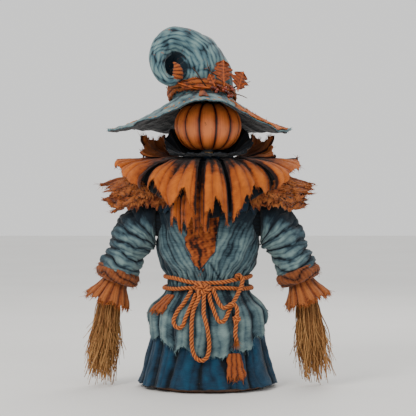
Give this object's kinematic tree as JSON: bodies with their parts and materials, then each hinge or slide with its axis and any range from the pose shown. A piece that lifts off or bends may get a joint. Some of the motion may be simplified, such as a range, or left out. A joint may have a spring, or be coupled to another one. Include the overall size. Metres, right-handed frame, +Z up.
{
  "type": "scarecrow figure",
  "caption": "Stuffed scarecrow figure on a base: ribbed pumpkin head, wide slouched hat, petal collar, belted tunic over a robe, swinging arms with straw hands.",
  "frame": {"origin": "centre of the base's underside, where the felt pad meets the table", "axes": "+Z up, the figure faces -Y, +X is the viewer's right when looking at its front; names beginning left_ are on -X"},
  "size_m": [0.4098, 0.25, 0.6089],
  "materials": {
    "base_wood": "stained and waxed",
    "felt_pad": "pressed felt",
    "steel": "zinc plated",
    "post_wood": "bare dowel",
    "stuffing": "loose wadding in muslin",
    "bar_wood": "bare pine",
    "robe_cloth": "heavy dyed cotton",
    "tunic_cloth": "washed linen",
    "shirt_cloth": "coarse burlap",
    "patch_cloth": "frayed burlap",
    "cowl_cloth": "dark wool",
    "petal_cloth": "starched burlap",
    "back_petal_cloth": "starched burlap",
    "tuft_cloth": "frayed burlap",
    "rope": "three-strand jute",
    "pumpkin_skin": "painted craft foam",
    "stem_skin": "dried stalk",
    "bush": "turned nylon",
    "hat_felt": "worn wool felt",
    "band_cloth": "torn burlap strip",
    "tip_cloth": "bound end",
    "leaf": "pressed silk leaf",
    "berry": "lacquered bead",
    "twig": "dry twig",
    "sleeve_cloth": "washed linen",
    "cuff_cloth": "rolled burlap",
    "ruffle_cloth": "frayed burlap",
    "straw": "dry raffia strands"
  },
  "bodies": {
    "figure": {"base_disc": "base_wood", "felt_pad": "felt_pad", "post_flange": "steel", "flange_screws": "steel", "socket_screw": "steel", "post": "post_wood", "skirt_stuffing": "stuffing", "torso_stuffing": "stuffing", "crossbar": "bar_wood", "crossbar_screw": "steel", "shoulder_bolts": "steel", "shoulder_washers": "steel", "shoulder_wing_nuts": "steel", "robe": "robe_cloth", "peplum": "tunic_cloth", "tunic": "tunic_cloth", "undershirt": "shirt_cloth", "waist_patch": "patch_cloth", "robe_patch": "patch_cloth", "neck_cowl": "cowl_cloth", "collar_front_petals": "petal_cloth", "collar_side_petals": "petal_cloth", "collar_back_petals": "back_petal_cloth", "shoulder_tufts": "tuft_cloth", "belt_upper_turn": "rope", "belt_lower_turn": "rope", "rope_knot": "rope", "rope_loop_left": "rope", "rope_loop_centre": "rope", "rope_loop_right": "rope", "rope_tail": "rope", "tail_knot": "rope"},
    "head": {"pumpkin": "pumpkin_skin", "pumpkin_stem": "stem_skin", "neck_bush": "bush"},
    "hat": {"hat_crown": "hat_felt", "hat_brim": "hat_felt", "hat_band": "band_cloth", "hat_tip": "tip_cloth", "hat_leaves": "leaf", "hat_berries": "berry", "hat_twigs": "twig"},
    "left_upper_arm": {"left_upper_link": "steel", "left_elbow_bolt": "steel", "left_upper_sleeve": "sleeve_cloth"},
    "left_forearm": {"left_forearm_link": "steel", "left_lower_sleeve": "sleeve_cloth", "left_cuff_roll": "cuff_cloth", "left_cuff_ruffle": "ruffle_cloth", "left_straw_hand": "straw", "left_hand_tie": "rope"},
    "right_upper_arm": {"right_upper_link": "steel", "right_elbow_bolt": "steel", "right_upper_sleeve": "sleeve_cloth"},
    "right_forearm": {"right_forearm_link": "steel", "right_lower_sleeve": "sleeve_cloth", "right_cuff_roll": "cuff_cloth", "right_cuff_ruffle": "ruffle_cloth", "right_straw_hand": "straw", "right_hand_tie": "rope"}
  },
  "joints": [
    {"name": "head_turn", "type": "hinge", "parent": "figure", "child": "head", "pos_m": [0, 0, 0.441], "axis": [0, 0, 1], "range_deg": [-70, 70]},
    {"name": "hat_lift", "type": "slide", "parent": "head", "child": "hat", "axis": [0, 0, 1], "range_m": [0, 0.12]},
    {"name": "left_shoulder_swing", "type": "hinge", "parent": "figure", "child": "left_upper_arm", "pos_m": [-0.1, 0, 0.278], "axis": [-1, 0, 0], "range_deg": [-20, 60]},
    {"name": "left_elbow_flex", "type": "hinge", "parent": "left_upper_arm", "child": "left_forearm", "pos_m": [-0.139, 0, 0.228], "axis": [-1, 0, 0], "range_deg": [0, 80]},
    {"name": "right_shoulder_swing", "type": "hinge", "parent": "figure", "child": "right_upper_arm", "pos_m": [0.1, 0, 0.278], "axis": [-1, 0, 0], "range_deg": [-20, 60]},
    {"name": "right_elbow_flex", "type": "hinge", "parent": "right_upper_arm", "child": "right_forearm", "pos_m": [0.139, 0, 0.228], "axis": [-1, 0, 0], "range_deg": [0, 80]}
  ]
}
